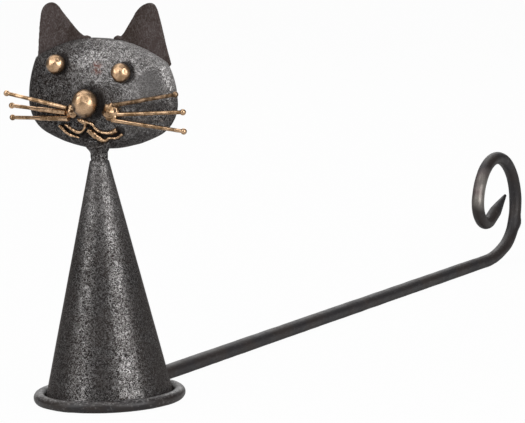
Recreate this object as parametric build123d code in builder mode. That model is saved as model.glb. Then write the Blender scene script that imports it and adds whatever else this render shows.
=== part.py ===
from build123d import *
import math
import os

# Candle snuffer in the shape of a cat, brazed up from sheet, round bar and wire. Sizes are in millimetres.
# The origin is the centre of the bell's mouth, on the surface that the snuffer stands on. The cat looks
# along -Y, its tail is the handle and runs along +Y, and left is the side of -X, as seen from the front.

# Joints: the gap that the filler metal runs into, and how far a cut runs past a piece
BRAZE_GAP = 0.1
OVERRUN = 5.0

# Bell: a cone rolled from sheet, open at the mouth and at the tip
BELL_MOUTH_DIA = 33.2
BELL_TIP_DIA = 4.8
BELL_HEIGHT = 61.6
BELL_SHEET = 1.0

# Rim: a ring of round wire around the mouth
RIM_WIRE_DIA = 3.0

# Neck: a stub of bar on the bell's tip, with a tenon in it, filed to the slope of the chin
NECK_DIA = 4.4
NECK_SHOW = 2.6
NECK_LAP = 0.9
TENON_LENGTH = 5.0

# Face: a dish of sheet, open at the back, measured from its widest line
FACE_WIDTH = 43.4
FACE_RISE = 16.1
FACE_DROP = 12.1
FACE_DEPTH = 5.8
FACE_SHEET = 0.9
FACE_SETBACK = 3.2
LEFT_BROW_END_SHARES = (-0.875, 0.7)
BROW_TOP_SHARES = (-0.12, 1.0)
RIGHT_BROW_END_SHARES = (0.89, 0.6)
JAW_END_SHARES = (0.769, 0.678)
DISH_FULLNESS = 3.2
DISH_SIZE_SHARES = (1.0, 0.99, 0.96, 0.88, 0.74, 0.55, 0.33, 0.14)

# Ears: flat plates behind the rim of the dish, each cut by hand to its own outline, from outside to inside
# round its tip. The shares are of the face's half width and its rise, and the base is behind the dish.
EAR_THICKNESS = 0.9
LEFT_EAR_SHARES = (
    (-0.893, 0.62), (-0.866, 0.83), (-0.847, 1.07), (-0.822, 1.295), (-0.787, 1.445), (-0.735, 1.525),
    (-0.657, 1.556), (-0.588, 1.513), (-0.522, 1.404), (-0.436, 1.27), (-0.345, 1.138), (-0.262, 1.045),
    (-0.189, 0.992),
)
RIGHT_EAR_SHARES = (
    (0.918, 0.575), (0.876, 0.79), (0.848, 0.969), (0.819, 1.127), (0.784, 1.306), (0.752, 1.447),
    (0.718, 1.513), (0.66, 1.535), (0.592, 1.51), (0.535, 1.463), (0.485, 1.397), (0.443, 1.315),
    (0.37, 1.18), (0.305, 1.066), (0.24, 0.99),
)
EAR_BASE_SHARES = ((0.25, 0.76), (0.796, 0.42))

# Eyes: balls, set at uneven heights by hand
EYE_DIA = 5.0
EYE_SINK = 0.6
EYE_SPACING = 19.2
LEFT_EYE_RISE = 9.9
RIGHT_EYE_RISE = 7.8

# Nose: a ball, stretched upright
NOSE_DIA = 6.6
NOSE_STRETCH = 0.6
NOSE_SHIFT = -0.4
NOSE_SINK = 0.7
NOSE_RISE = 0.2

# Whiskers: three ball-ended wires from a blob of filler on each cheek. The shares place the root, up the
# blob's diameter, and the tip, outwards, up and back by the reach.
BOSS_DIA = 4.4
BOSS_PROUD = 2.6
BOSS_SPACING = 12.0
BOSS_DROP = 2.1
WHISKER_DIA = 1.0
WHISKER_BALL_DIA = 1.6
WHISKER_OVERHANG = 3.4
ROOT_OUT_SHARE = 0.12
ROOT_FRONT_SHARE = 0.18
WHISKER_SHARES = {
    "left_whisker_upper": (0.2, 0.98, 0.238, -0.02),
    "left_whisker_middle": (-0.05, 1.0, 0.058, 0.126),
    "left_whisker_lower": (-0.31, 1.0, -0.102, 0.131),
    "right_whisker_upper": (0.31, 0.98, 0.238, -0.02),
    "right_whisker_middle": (-0.12, 1.0, -0.005, 0.126),
    "right_whisker_lower": (-0.37, 1.0, -0.257, 0.131),
}

# Mouth: sunk into the dish and edged with beads. The shares are of the face's half width and its drop.
MOUTH_DEPTH = 0.5
LIP_WIDTH = 0.8
LIP_HEIGHT = 0.5
LIP_BEND = 0.45
UPPER_LIP_SHARES = (
    (-0.375, -0.446), (-0.217, -0.61), (-0.145, -0.58), (-0.054, -0.4),
    (0.077, -0.579), (0.195, -0.62), (0.317, -0.554),
)
LOWER_LEFT_LIP_SHARES = ((-0.466, -0.471), (-0.376, -0.636), (-0.217, -0.735))
LOWER_RIGHT_LIP_SHARES = (
    (-0.068, -0.562), (0.023, -0.686), (0.113, -0.793), (0.249, -0.727), (0.371, -0.636),
)

# Tail: a round bar that lies on the surface, runs up into a loop and curls inwards to a straight end with
# a point
TAIL_DIA = 4.0
TAIL_STRAIGHT_END = 238.0
TAIL_BEND_RADIUS = 45.0
TAIL_BEND_TURN = 20
TAIL_LOOP_RADIUS = 15.3
TAIL_LOOP_TURN = 238
TAIL_CURL_RADIUS = 6.6
TAIL_CURL_TURN = 129
TAIL_END_LENGTH = 4.6
TAIL_TIP_LENGTH = 9.4
TAIL_TIP_DIA = 0.7
TAIL_SEAT_SHARE = 0.5

# Worked-out sizes of the bell and its rim: the wire lies on the surface and a gap away from the cone
bell_mouth_radius = BELL_MOUTH_DIA / 2
bell_tip_radius = BELL_TIP_DIA / 2
bell_slope = (bell_mouth_radius - bell_tip_radius) / BELL_HEIGHT
bell_slant = math.sqrt(1 + bell_slope**2)
bell_wall = BELL_SHEET * bell_slant
rim_wire_radius = RIM_WIRE_DIA / 2
rim_radius = bell_mouth_radius - bell_slope * rim_wire_radius + (rim_wire_radius + BRAZE_GAP) * bell_slant

# Worked-out places on the face, whose own plane has its origin on the widest line of the dish's rim
face_half_width = FACE_WIDTH / 2
face_height = BELL_HEIGHT + NECK_SHOW + FACE_DROP
face_plane = Plane(origin=(0, FACE_SETBACK, face_height), x_dir=(1, 0, 0), z_dir=(0, -1, 0))
sides = {"left": -1, "right": 1}


def on_face(shares, below=FACE_DROP):
    """A point of the face's own plane, from shares of its half width and of a height."""
    return (shares[0] * face_half_width, shares[1] * below)


def face_section(size_share, grow):
    """A section through the dish: brow, sides, jaws and chin, all arcs, at the depth of its size."""
    half_width = size_share * (face_half_width + grow)
    rise = size_share * (FACE_RISE + grow)
    drop = size_share * (FACE_DROP + grow)
    brow_shares = (LEFT_BROW_END_SHARES, BROW_TOP_SHARES, RIGHT_BROW_END_SHARES)
    brow_left, brow_top, brow_right = [(x * half_width, y * rise) for x, y in brow_shares]
    jaw_x, jaw_y = JAW_END_SHARES[0] * half_width, -JAW_END_SHARES[1] * drop
    depth_share = math.sqrt(1 - size_share**DISH_FULLNESS)
    with BuildSketch(face_plane.offset(depth_share * (FACE_DEPTH + grow))) as section:
        with BuildLine():
            ThreePointArc(brow_left, brow_top, brow_right)
            TangentArc((-half_width, 0), brow_left, tangent=(0, 1))
            TangentArc((half_width, 0), brow_right, tangent=(0, 1))
            ThreePointArc((-jaw_x, jaw_y), (0, -drop), (jaw_x, jaw_y))
            for side in sides.values():
                TangentArc((side * half_width, 0), (side * jaw_x, jaw_y), tangent=(0, -1))
        make_face()
    return section.sketch


def add_dish(grow, mode=Mode.ADD):
    """The filled dish of the face, grown by an offset, as a loft from its rim to its flat middle."""
    loft([face_section(size_share, grow) for size_share in DISH_SIZE_SHARES], mode=mode)


def face_front(x, z):
    """How far forward the front of the face is, in Y, at a place across and up."""
    sight = Axis((x, 0, z), (0, 1, 0))
    hits = [hit.Y for face in dish.part.faces() for hit, _ in face.find_intersection_points(sight)]
    return min(hits)


def lip_route(shares):
    """The line that a lip follows on the face."""
    return FilletPolyline(*[on_face(point) for point in shares], radius=LIP_BEND)


def finish(name, piece):
    """Names a finished piece and writes it."""
    piece.part.label = name
    export_step(piece.part, f"parts/{name}.step")


os.makedirs("parts", exist_ok=True)

# Bell
with BuildPart() as cone_shell:
    with BuildSketch(Plane.XZ):
        with BuildLine():
            Polyline(
                (bell_mouth_radius, 0),
                (bell_tip_radius, BELL_HEIGHT),
                (bell_tip_radius - bell_wall, BELL_HEIGHT),
                (bell_mouth_radius - bell_wall, 0),
                close=True,
            )
        make_face()
    revolve(axis=Axis.Z)
finish("cone_shell", cone_shell)

# Rim
with BuildPart() as rim_ring:
    with Locations((0, 0, rim_wire_radius)):
        Torus(rim_radius, rim_wire_radius)
finish("rim_ring", rim_ring)

# Filled shapes of the face that other pieces are cut to: the dish itself, the same with the gap of a
# brazed joint around it, and the layer on its front that the lips are made from
with BuildPart() as dish:
    add_dish(0)

with BuildPart() as dish_seat:
    add_dish(BRAZE_GAP)

with BuildPart() as lip_layer:
    add_dish(BRAZE_GAP + LIP_HEIGHT)
    add(dish_seat.part, mode=Mode.SUBTRACT)

# Face, with the mouth sunk between the lips
with BuildPart() as mouth:
    with BuildSketch(face_plane):
        with BuildLine():
            lower_points = LOWER_LEFT_LIP_SHARES + LOWER_RIGHT_LIP_SHARES
            Polyline(*[on_face(point) for point in UPPER_LIP_SHARES + lower_points[::-1]], close=True)
        make_face()
        for shares in (UPPER_LIP_SHARES, LOWER_LEFT_LIP_SHARES, LOWER_RIGHT_LIP_SHARES):
            with BuildLine() as lip_line:
                lip_route(shares)
            trace(lip_line.line, LIP_WIDTH, mode=Mode.SUBTRACT)
    extrude(amount=FACE_DEPTH + OVERRUN)
    add_dish(-MOUTH_DEPTH, mode=Mode.SUBTRACT)

with BuildPart() as face_dome:
    add_dish(0)
    add_dish(-FACE_SHEET, mode=Mode.SUBTRACT)
    add(mouth.part, mode=Mode.SUBTRACT)
finish("face_dome", face_dome)

# Lips
lips = {
    "upper_lip": UPPER_LIP_SHARES,
    "lower_left_lip": LOWER_LEFT_LIP_SHARES,
    "lower_right_lip": LOWER_RIGHT_LIP_SHARES,
}
for name, shares in lips.items():
    with BuildPart() as lip:
        with BuildSketch(face_plane):
            with BuildLine() as lip_line:
                lip_route(shares)
            trace(lip_line.line, LIP_WIDTH)
        extrude(amount=FACE_DEPTH + OVERRUN)
        add(lip_layer.part, mode=Mode.INTERSECT)
    finish(name, lip)

# Neck
with BuildPart() as neck_stub:
    with BuildSketch(Plane.XY.offset(BELL_HEIGHT)):
        Circle(NECK_DIA / 2)
    extrude(amount=NECK_SHOW + NECK_LAP)
    add(dish_seat.part, mode=Mode.SUBTRACT)
    with BuildSketch(Plane.XY.offset(BELL_HEIGHT)):
        Circle(bell_tip_radius - bell_wall - BRAZE_GAP)
    extrude(amount=-TENON_LENGTH)
finish("neck_stub", neck_stub)

# Ears, flat against the rim of the dish
ear_shares = {"left": LEFT_EAR_SHARES, "right": RIGHT_EAR_SHARES}
for side_name, side in sides.items():
    base_points = [on_face((side * x, y), FACE_RISE) for x, y in EAR_BASE_SHARES]
    with BuildPart() as ear:
        with BuildSketch(face_plane):
            with BuildLine():
                edge = Spline(*[on_face(point, FACE_RISE) for point in ear_shares[side_name]])
                Polyline(edge @ 1, *base_points, edge @ 0)
            make_face()
        extrude(amount=-EAR_THICKNESS)
    finish(f"{side_name}_ear", ear)

# Eyes
eye_rises = {"left": LEFT_EYE_RISE, "right": RIGHT_EYE_RISE}
for side_name, side in sides.items():
    eye_x, eye_z = side * EYE_SPACING / 2, face_height + eye_rises[side_name]
    eye_y = face_front(eye_x, eye_z) + EYE_SINK - EYE_DIA / 2
    with BuildPart() as eye:
        with Locations((eye_x, eye_y, eye_z)):
            Sphere(EYE_DIA / 2)
        add(dish_seat.part, mode=Mode.SUBTRACT)
    finish(f"{side_name}_eye", eye)

# Nose
nose_z = face_height + NOSE_RISE
nose_y = face_front(NOSE_SHIFT, nose_z) + NOSE_SINK - NOSE_DIA / 2
nose_ends = [(NOSE_SHIFT, nose_y, nose_z + side * NOSE_STRETCH / 2) for side in sides.values()]
with BuildPart() as nose:
    with Locations((NOSE_SHIFT, nose_y, nose_z)):
        Cylinder(NOSE_DIA / 2, NOSE_STRETCH)
    with Locations(*nose_ends):
        Sphere(NOSE_DIA / 2)
    add(dish_seat.part, mode=Mode.SUBTRACT)
finish("nose", nose)

# Whiskers and the blobs that hold them
boss_z = face_height - BOSS_DROP
boss_places = {}
for side_name, side in sides.items():
    boss_x = side * BOSS_SPACING / 2
    boss_places[side_name] = Vector(boss_x, face_front(boss_x, boss_z) + BOSS_DIA / 2 - BOSS_PROUD, boss_z)
    with BuildPart() as boss:
        with Locations(boss_places[side_name]):
            Sphere(BOSS_DIA / 2)
        add(dish_seat.part, mode=Mode.SUBTRACT)
    finish(f"{side_name}_whisker_boss", boss)

reach = face_half_width + WHISKER_OVERHANG - BOSS_SPACING / 2
for name, (root_share, out_share, rise_share, back_share) in WHISKER_SHARES.items():
    side_name = name.split("_")[0]
    side, boss_place = sides[side_name], boss_places[side_name]
    root_offset = Vector(side * ROOT_OUT_SHARE, -ROOT_FRONT_SHARE, root_share) * BOSS_DIA
    tip = boss_place + Vector(side * out_share, back_share, rise_share) * reach
    root = boss_place + root_offset
    with BuildPart() as whisker:
        with BuildSketch(Plane(origin=root, z_dir=tip - root)):
            Circle(WHISKER_DIA / 2)
        extrude(amount=(tip - root).length)
        with Locations(Plane(origin=tip, z_dir=tip - root)):
            Sphere(WHISKER_BALL_DIA / 2)
        with Locations(boss_place):
            Sphere(BOSS_DIA / 2 + BRAZE_GAP, mode=Mode.SUBTRACT)
    finish(name, whisker)

# Tail, notched at its front end over the wire of the rim
tail_radius = TAIL_DIA / 2
tail_start = rim_radius + TAIL_SEAT_SHARE * rim_wire_radius
with BuildPart() as tail_handle:
    with BuildLine(Plane.YZ) as tail_route:
        straight = Line((tail_start, tail_radius), (TAIL_STRAIGHT_END, tail_radius))
        bend = JernArc(straight @ 1, straight % 1, TAIL_BEND_RADIUS, TAIL_BEND_TURN)
        loop = JernArc(bend @ 1, bend % 1, TAIL_LOOP_RADIUS, TAIL_LOOP_TURN)
        curl = JernArc(loop @ 1, loop % 1, TAIL_CURL_RADIUS, TAIL_CURL_TURN)
        end = PolarLine(curl @ 1, TAIL_END_LENGTH, direction=curl % 1)
    with BuildSketch(Plane(origin=straight @ 0, z_dir=straight % 0)):
        Circle(tail_radius)
    sweep()
    with Locations(Plane(origin=end @ 1, z_dir=end % 1)):
        Cone(tail_radius, TAIL_TIP_DIA / 2, TAIL_TIP_LENGTH, align=(Align.CENTER, Align.CENTER, Align.MIN))
    with Locations((0, 0, rim_wire_radius)):
        Torus(rim_radius, rim_wire_radius + BRAZE_GAP, mode=Mode.SUBTRACT)
finish("tail_handle", tail_handle)
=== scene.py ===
from bisect import bisect
from collections import namedtuple
from functools import cache
from math import atan2, cos, exp, hypot, pi, radians, sin, sqrt, tau

import bmesh
import bpy
from bpy.props import FloatProperty, FloatVectorProperty, PointerProperty
from mathutils import Euler, Matrix, Vector


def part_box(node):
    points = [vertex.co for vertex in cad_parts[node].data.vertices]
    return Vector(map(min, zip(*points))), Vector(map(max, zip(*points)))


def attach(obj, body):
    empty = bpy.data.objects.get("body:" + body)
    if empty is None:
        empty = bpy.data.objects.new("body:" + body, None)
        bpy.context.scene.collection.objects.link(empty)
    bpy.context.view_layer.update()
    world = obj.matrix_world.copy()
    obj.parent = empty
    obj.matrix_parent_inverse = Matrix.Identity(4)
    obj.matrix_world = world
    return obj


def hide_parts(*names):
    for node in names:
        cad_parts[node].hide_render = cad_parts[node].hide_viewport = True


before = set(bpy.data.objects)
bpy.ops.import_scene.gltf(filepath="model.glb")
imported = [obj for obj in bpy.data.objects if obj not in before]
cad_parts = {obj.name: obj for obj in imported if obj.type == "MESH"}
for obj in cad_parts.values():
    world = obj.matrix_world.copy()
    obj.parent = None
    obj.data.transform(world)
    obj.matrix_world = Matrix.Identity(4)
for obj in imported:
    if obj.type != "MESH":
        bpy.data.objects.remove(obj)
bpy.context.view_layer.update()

bl_info = {
    "name": "Cat Candle Snuffer",
    "version": (1, 0, 0),
    "blender": (4, 5, 0),
    "location": "View3D > Sidebar > Snuffer",
    "description": "Models a brazed candle snuffer in the shape of a cat and finishes its metal",
    "category": "Object",
}

BODY = "root"
SIDES = {"left": -1, "right": 1}

# Distances under which two places or two heights count as one
SAME_PLACE = 1e-7
SAME_LEVEL = 1e-5

# Shape of the face, as shares of its half width and of its height above or below its widest line
FACE_DROP_SHARE = 0.4285
BROW = ((-0.875, 0.7), (-0.12, 1.0), (0.89, 0.6))
JAW_END = (0.769, 0.678)
DISH_FULLNESS = 3.2
DISH_RINGS = (0.995, 0.985, 0.97, 0.95, 0.925, 0.89, 0.85, 0.8, 0.74, 0.67, 0.59, 0.5, 0.4, 0.3, 0.2, 0.1)
SIDE_STEPS, LONG_STEPS = 16, 48
EAR_EDGES = {
    "left": ((-0.893, 0.62), (-0.866, 0.83), (-0.847, 1.07), (-0.822, 1.295), (-0.787, 1.445),
             (-0.735, 1.525), (-0.657, 1.556), (-0.588, 1.513), (-0.522, 1.404), (-0.436, 1.27),
             (-0.345, 1.138), (-0.262, 1.045), (-0.189, 0.992)),
    "right": ((0.918, 0.575), (0.876, 0.79), (0.848, 0.969), (0.819, 1.127), (0.784, 1.306),
              (0.752, 1.447), (0.718, 1.513), (0.66, 1.535), (0.592, 1.51), (0.535, 1.463),
              (0.485, 1.397), (0.443, 1.315), (0.37, 1.18), (0.305, 1.066), (0.24, 0.99)),
}
EAR_BASE = ((0.25, 0.76), (0.796, 0.42))
UPPER_LIP = ((-0.375, -0.446), (-0.217, -0.61), (-0.145, -0.58), (-0.054, -0.4), (0.077, -0.579),
             (0.195, -0.62), (0.317, -0.554))
LOWER_LEFT_LIP = ((-0.466, -0.471), (-0.376, -0.636), (-0.217, -0.735))
LOWER_RIGHT_LIP = ((-0.068, -0.562), (0.023, -0.686), (0.113, -0.793), (0.19, -0.735), (0.29, -0.725),
                   (0.371, -0.636))
UNDER_NOSE = ((-0.19, -0.345), (-0.12, -0.375), (-0.06, -0.4))
BROW_JOINT = ((-0.17, 1.0), (-0.11, 1.0), (-0.05, 1.0), (0.01, 1.0), (0.07, 0.99), (0.13, 0.98),
              (0.19, 0.97))
MOUTH_LINE = ((-0.4, -0.52), (-0.28, -0.64), (-0.15, -0.66), (-0.03, -0.5), (0.08, -0.66), (0.18, -0.68),
              (0.29, -0.65), (0.345, -0.59))

# Shares of the face's sheet: how deep the brass is seated in it, and where its front ends
SEAT_SHARE = 0.6
FRONT_SHARE = 0.62

# Values at the vertices: the front of the face, and the brass darkened by patina, on the balls also by
# painted shade on their left and lower sides
FRONT = "front"
PATINA_AND_SHADE = "unrubbed"

# Marks of the finishes: the turns and length of the rubbed hairs, and scales per metre
HAIR_TURNS = ((0.2, 0.6, 0.0), (-0.3, -0.7, 0.2), (0.4, 1.5, 0.5))
HAIR_STRETCH = (1.0, 1.0, 4.2)
HAIR_SHARE = 0.7
PATCH_SCALE = 170
WAVE_SCALE = 420
WORN_SCALE = 1500
RUST_SCALE = 900

# Light and relief of the finishes
BLACK_SPECULAR, BLACK_TINT, BLACK_RELIEF = 0.04, (0.34, 0.30, 0.28, 1), 0.000008
SATIN_SPECULAR, SATIN_RELIEF = 0.46, 0.000015
METALLIC = 0.95
DULLER = 0.16
TINT_SHARE, BLUED_SHARE, WORN_SHARE, RUST_SHARE = 0.7, 0.45, 0.55, 0.85
RUST_INNER, RUST_OUTER = 0.0005, 0.0024

# A place of rub and painted light: the least rub outside it, which is painted shade where under 1, the most
# at its core, a grey haze of painted sheen and a matt surface
RubbedAndLitSpot = namedtuple("RubbedAndLitSpot", "centre reach least most haze matt", defaults=(0.0,))
# A place darkened by painted shade and by scorch: where it fades out, the share of the rub left, and its
# proportions
ShadeAndScorchSpot = namedtuple("ShadeAndScorchSpot", "centre inner outer left squash", defaults=((1, 1, 1),))


# Settings


def a_length(name, description, default):
    """A length that the user can change."""
    return FloatProperty(name=name, description=description, default=default, unit="LENGTH", precision=5)


def an_angle(name, description, degrees):
    """An angle that the user can change."""
    return FloatProperty(name=name, description=description, default=radians(degrees), subtype="ANGLE")


def a_power(name, description, default):
    """The power of a lamp."""
    return FloatProperty(name=name, description=description, default=default, unit="POWER")


def a_colour(name, description, default):
    """A colour that the user can change."""
    return FloatVectorProperty(name=name, description=description, default=default, size=3, min=0, max=1,
                               subtype="COLOR")


class SnufferSizes(bpy.types.PropertyGroup):
    """Sizes of the pieces that the frame's boxes don't give."""

    sheet: a_length("Sheet", "Thickness of the bell's and the face's sheet", 0.00095)
    mouth: a_length("Mouth", "How deep the mouth is sunk into the face", 0.0005)
    lip_bead: a_length("Lip Bead", "Radius of the beads along the mouth", 0.00041)
    whisker_wire: a_length("Whisker Wire", "Radius of a whisker's wire", 0.0005)
    whisker_ball: a_length("Whisker Ball", "Radius of the ball on a whisker", 0.0008)
    tail_straight: a_length("Tail Straight", "Where the straight of the tail ends", 0.238)
    tail_bend: a_length("Tail Bend", "Radius of the tail's first bend", 0.045)
    tail_loop: a_length("Tail Loop", "Radius of the tail's loop", 0.0153)
    tail_curl: a_length("Tail Curl", "Radius of the curl inside the loop", 0.0066)
    tail_end: a_length("Tail End", "Length of the straight end after the curl", 0.0046)
    tail_point: a_length("Tail Point", "Length of the tapered point of the tail", 0.0094)
    tail_bend_turn: an_angle("Bend Turn", "Turn of the tail's first bend", 20)
    tail_loop_turn: an_angle("Loop Turn", "Turn of the tail's loop", 238)
    tail_curl_turn: an_angle("Curl Turn", "Turn of the curl inside the loop", 129)


class SnufferFinish(bpy.types.PropertyGroup):
    """Colours of the finishes."""

    black: a_colour("Black", "Black of the bell and the face", (0.0095, 0.0080, 0.0078))
    # Also the grey of the painted sheen on the face, the bell and the neck
    rubbed_and_lit: a_colour("Rubbed", "Bare grey steel where the black is rubbed", (0.425, 0.411, 0.406))
    ear: a_colour("Ear", "Brownish black of the ears", (0.0550, 0.0415, 0.0390))
    tail: a_colour("Tail", "Satin black of the tail and the rim", (0.0165, 0.0118, 0.0102))
    warm: a_colour("Warm", "Warm brown that shows through the black", (0.024, 0.016, 0.012))
    heat: a_colour("Heat", "Tint that the forge left on the tail", (0.020, 0.0135, 0.012))
    blued: a_colour("Blued", "Blue tint that the forge left on the tail", (0.006, 0.008, 0.013))
    # The bare steel of the painted highlight on the tail's loop
    loop_highlight: a_colour("Handled", "Bare steel where the tail's loop is held", (0.33, 0.305, 0.28))
    tarnish: a_colour("Tarnish", "Pinkish tarnish on that bare steel", (0.16, 0.12, 0.12))
    rust: a_colour("Rust", "Rust spot on the brow", (0.11, 0.035, 0.022))
    brass: a_colour("Brass", "Bright brass", (0.71, 0.472, 0.292))
    patina: a_colour("Patina", "Dark patina of the brass", (0.21, 0.125, 0.062))
    floor: a_colour("Floor", "Colour of the floor", (0.45, 0.45, 0.45))


class SnufferStage(bpy.types.PropertyGroup):
    """Camera and lamps."""

    camera_place: FloatVectorProperty(name="Camera Place", description="Where the camera stands", size=3,
                                      default=(0.39642, -0.65351, 0.14197), unit="LENGTH", precision=5)
    heading: an_angle("Heading", "Turn of the camera about the upright", 28.186)
    pitch: an_angle("Pitch", "How far the camera looks down", 7.093)
    roll: an_angle("Roll", "Turn of the camera about its line of sight", -2.13)
    lens: FloatProperty(name="Lens", description="Focal length in millimetres", default=208.06, min=1)
    key_power: a_power("Key", "Power of the lamp on the right", 6.9)
    fill_power: a_power("Fill", "Power of the lamp on the left", 4.2)
    top_power: a_power("Top", "Power of the lamp overhead", 6.0)
    brow_power: a_power("Brow", "Power of the high lamp in front", 2.8)
    back_power: a_power("Back", "Power of the lamp behind", 1.2)
    sky: FloatProperty(name="Sky", description="Strength of the light from all round", default=0.43, min=0)
    dim: FloatProperty(name="Dim", description="Dim side of the studio in reflections", default=0.12, min=0)


# Modelling helpers


def leave_edit():
    """Goes back to object mode."""
    bpy.ops.object.mode_set(mode="OBJECT")


def take(obj):
    """Makes a piece the only selected one, and the active one."""
    bpy.ops.object.select_all(action="DESELECT")
    obj.select_set(True)
    bpy.context.view_layer.objects.active = obj


def name_new(name):
    """Names the piece that was just added."""
    obj = bpy.context.object
    obj.name = obj.data.name = name
    return obj


def settle(obj):
    """Puts a piece's place, turn and scale into its mesh."""
    take(obj)
    bpy.ops.object.transform_apply(location=True, rotation=True, scale=True)


def edit_all(obj):
    """Opens a piece in edit mode with all of it selected."""
    take(obj)
    bpy.ops.object.mode_set(mode="EDIT")
    bpy.ops.mesh.select_all(action="SELECT")


def extrude(step):
    """Draws out what is selected by a step."""
    bpy.ops.mesh.extrude_region_move(TRANSFORM_OT_translate={"value": step})


def modify(obj, kind, **settings):
    """Adds a modifier and applies it."""
    take(obj)
    change = obj.modifiers.new(kind.lower(), kind)
    for key, value in settings.items():
        setattr(change, key, value)
    bpy.ops.object.modifier_apply(modifier=change.name)


def roughen(obj, depth, grain, size=1):
    """Gives a surface the soft dents of hand work, in metres or as shares of a size."""
    dents = bpy.data.textures.new(f"{obj.name}_dents", "CLOUDS")
    dents.noise_scale = grain * size
    dents.noise_depth = 2
    modify(obj, "DISPLACE", texture=dents, texture_coords="LOCAL", strength=depth * size, mid_level=0.5)


def rest(obj):
    """Flattens what the dents pushed under the floor."""
    for vert in obj.data.vertices:
        vert.co.z = max(vert.co.z, 0)


def tug(obj, place, pull, reach):
    """Pulls or pushes the surface of a piece near a place, with a soft fall-off."""
    take(obj)
    bpy.ops.object.mode_set(mode="EDIT")
    bpy.ops.mesh.select_mode(type="VERT")
    mesh = bmesh.from_edit_mesh(obj.data)
    nearest = min((vert.co for vert in mesh.verts), key=lambda co: (co - place).length_squared).copy()
    for vert in mesh.verts:
        vert.select_set((vert.co - nearest).length < SAME_PLACE)
    mesh.select_flush_mode()
    bmesh.update_edit_mesh(obj.data)
    bpy.ops.transform.translate(value=pull, use_proportional_edit=True, proportional_size=reach,
                                proportional_edit_falloff="SMOOTH")
    leave_edit()


def outward(obj):
    """Turns the faces of a closed or open piece outwards."""
    edit_all(obj)
    bpy.ops.mesh.normals_make_consistent(inside=False)
    leave_edit()


def turn_up(name, rings, sides, filled=True):
    """Draws a round piece up along Z from a circle: each ring is a height and a radius."""
    (height, radius), end = rings[0], "NGON" if filled else "NOTHING"
    bpy.ops.mesh.primitive_circle_add(vertices=sides, radius=radius, fill_type=end, location=(0, 0, height))
    obj = name_new(name)
    settle(obj)
    edit_all(obj)
    for next_height, next_radius in rings[1:]:
        extrude((0, 0, next_height - height))
        grow = next_radius / radius
        bpy.ops.transform.resize(value=(grow, grow, 1), center_override=(0, 0, next_height))
        height, radius = next_height, next_radius
    leave_edit()
    outward(obj)
    return obj


def ball(name, centre, radius, stretch=(1, 1, 1)):
    """A round blob at a place, ready to be dented."""
    bpy.ops.mesh.primitive_ico_sphere_add(subdivisions=5, radius=radius, location=centre)
    obj = name_new(name)
    obj.scale = stretch
    settle(obj)
    return obj


def ball_place(node):
    """The centre, radius and relative height of the ball that fits the front of a node's box."""
    low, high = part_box(node)
    radius = (high.x - low.x) / 2
    centre = Vector(((low.x + high.x) / 2, low.y + radius, (low.z + high.z) / 2))
    return centre, radius, (high.z - low.z) / (2 * radius)


def new_curve(name, points):
    """A smooth curve through some points, and its knots."""
    bpy.ops.curve.primitive_bezier_curve_add()
    obj = name_new(name)
    knots = obj.data.splines[0].bezier_points
    knots.add(len(points) - 2)
    for knot, point in zip(knots, points):
        knot.co = point
        knot.handle_left_type = knot.handle_right_type = "AUTO"
    return obj, knots


def mark(obj, name, measure):
    """Gives a piece a value at every vertex, for its finish to read."""
    values = obj.data.attributes.new(name, "FLOAT", "POINT").data
    for vert, value in zip(obj.data.vertices, values):
        value.value = measure(vert.co)


def hand_over(obj, finish, nodes=(), smooth=60):
    """Finishes a piece: its shading, finish, slot, body and the nodes it stands for."""
    take(obj)
    bpy.ops.object.shade_smooth_by_angle(angle=radians(smooth))
    obj.data.materials.clear()
    obj.data.materials.append(finish)
    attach(obj, BODY)
    if nodes:
        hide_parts(*nodes)


# Face geometry


@cache
def face_sizes():
    """The face's half width, rise and drop, the height of its widest line, its rim's place and its depth."""
    low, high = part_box("face_dome")
    drop = (high.z - low.z) * FACE_DROP_SHARE
    return high.x, high.z - low.z - drop, drop, low.z + drop, high.y, high.y - low.y


def round_centre(first, middle, last):
    """The centre of the circle through three points."""
    (ax, ay), (bx, by), (cx, cy) = first, middle, last
    a, b, c = [x * x + y * y for x, y in (first, middle, last)]
    twice = 2 * (ax * (by - cy) + bx * (cy - ay) + cx * (ay - by))
    across = (a * (by - cy) + b * (cy - ay) + c * (ay - by)) / twice
    up = (a * (cx - bx) + b * (ax - cx) + c * (bx - ax)) / twice
    return across, up


def arc(centre, start, end, count):
    """Points along an arc the short way from a start to an end, without its end."""
    radius = hypot(start[0] - centre[0], start[1] - centre[1])
    first, last = [atan2(y - centre[1], x - centre[0]) for x, y in (start, end)]
    sweep = (last - first + pi) % tau - pi
    turns = [first + sweep * step / count for step in range(count)]
    return [(centre[0] + radius * cos(a), centre[1] + radius * sin(a)) for a in turns]


@cache
def face_rim():
    """The outline of the dish round its widest line: brow, sides, jaws and chin, all arcs."""
    half_width, rise, drop, *_ = face_sizes()
    brow_left, brow_top, brow_right = [(x * half_width, y * rise) for x, y in BROW]
    jaw_left, jaw_right = [(side * JAW_END[0] * half_width, -JAW_END[1] * drop) for side in SIDES.values()]
    left, right = (-half_width, 0), (half_width, 0)

    def upright(side, end):
        """The centre of an arc that leaves the side of the face straight up or down."""
        inward = side[0] - end[0]
        return (side[0] - (inward**2 + end[1] ** 2) / (2 * inward), 0)

    brow_centre = round_centre(brow_left, brow_top, brow_right)
    chin_centre = round_centre(jaw_left, (0, -drop), jaw_right)
    return (
        arc(upright(right, brow_right), right, brow_right, SIDE_STEPS)
        + arc(brow_centre, brow_right, brow_left, LONG_STEPS)
        + arc(upright(left, brow_left), brow_left, left, SIDE_STEPS)
        + arc(upright(left, jaw_left), left, jaw_left, SIDE_STEPS)
        + arc(chin_centre, jaw_left, jaw_right, LONG_STEPS)
        + arc(upright(right, jaw_right), jaw_right, right, SIDE_STEPS)
    )


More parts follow.
